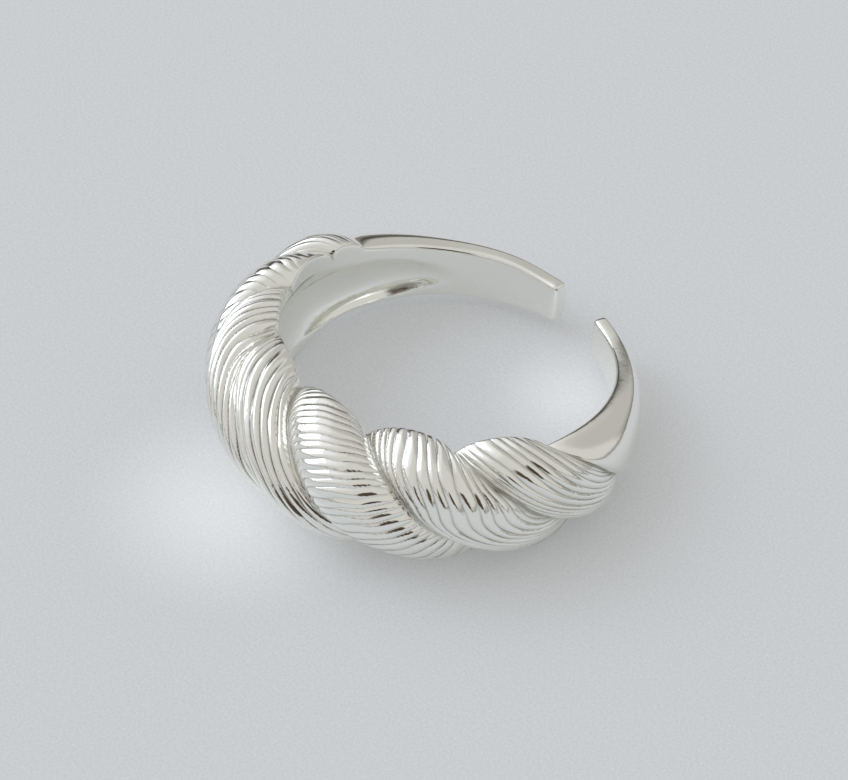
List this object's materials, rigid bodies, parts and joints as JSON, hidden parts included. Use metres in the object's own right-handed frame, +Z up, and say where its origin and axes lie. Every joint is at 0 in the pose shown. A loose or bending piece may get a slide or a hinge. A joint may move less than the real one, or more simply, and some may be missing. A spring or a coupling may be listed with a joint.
{
  "type": "twisted open finger ring",
  "caption": "Open finger ring cast in one piece: a domed rope twist of finely ribbed lobes in front, tapering at both sides into a plain shank with two blunt tips and a gap between them",
  "frame": {"origin": "on the ground, under the middle of the ring's bounding box as it lies", "axes": "+Z up from the ground, -Y towards the middle of the twisted front, +Y towards the gap, +X to the right seen from the front"},
  "size_m": [0.0226, 0.0216, 0.0073],
  "materials": {
    "silver": "polished silver, lightly worn"
  },
  "bodies": {
    "root": {"twisted_ring": "silver"}
  },
  "joints": []
}
